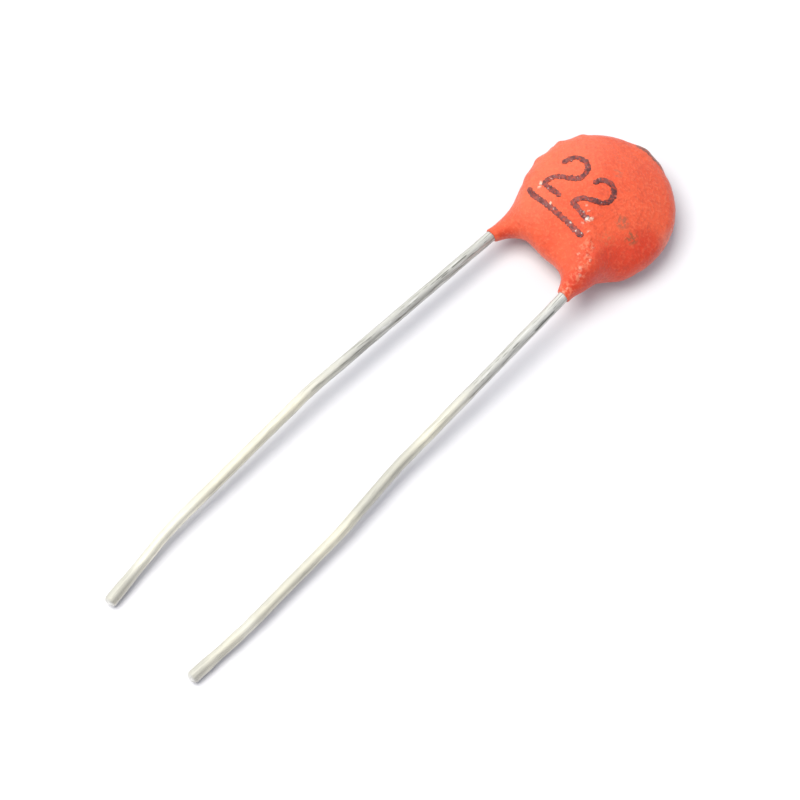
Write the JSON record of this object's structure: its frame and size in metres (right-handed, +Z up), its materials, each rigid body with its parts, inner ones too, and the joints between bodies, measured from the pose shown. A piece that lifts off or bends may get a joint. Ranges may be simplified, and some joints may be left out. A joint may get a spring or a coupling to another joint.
{
  "type": "ceramic disc capacitor",
  "caption": "Domed disc in a dipped coat with two short legs at one edge, each holding a long round wire lead for a circuit board.",
  "frame": {"origin": "on the surface that the part lies on, under the middle of its bounding box", "axes": "+X across the two leads, +Y along the leads from their tips to the disc, +Z up from the surface to the disc's front face"},
  "size_m": [0.0068, 0.0303, 0.0028],
  "materials": {
    "coat": "satin orange dipped resin",
    "ceramic": "matt fired",
    "silver_layer": "thin printed silver",
    "solder": "smooth solder",
    "tinned_wire": "tinned, softly glossy"
  },
  "bodies": {
    "root": {"coating": "coat", "ceramic_disc": "ceramic", "electrode_front": "silver_layer", "electrode_back": "silver_layer", "solder_front": "solder", "solder_back": "solder", "lead_left": "tinned_wire", "lead_right": "tinned_wire"}
  },
  "joints": []
}
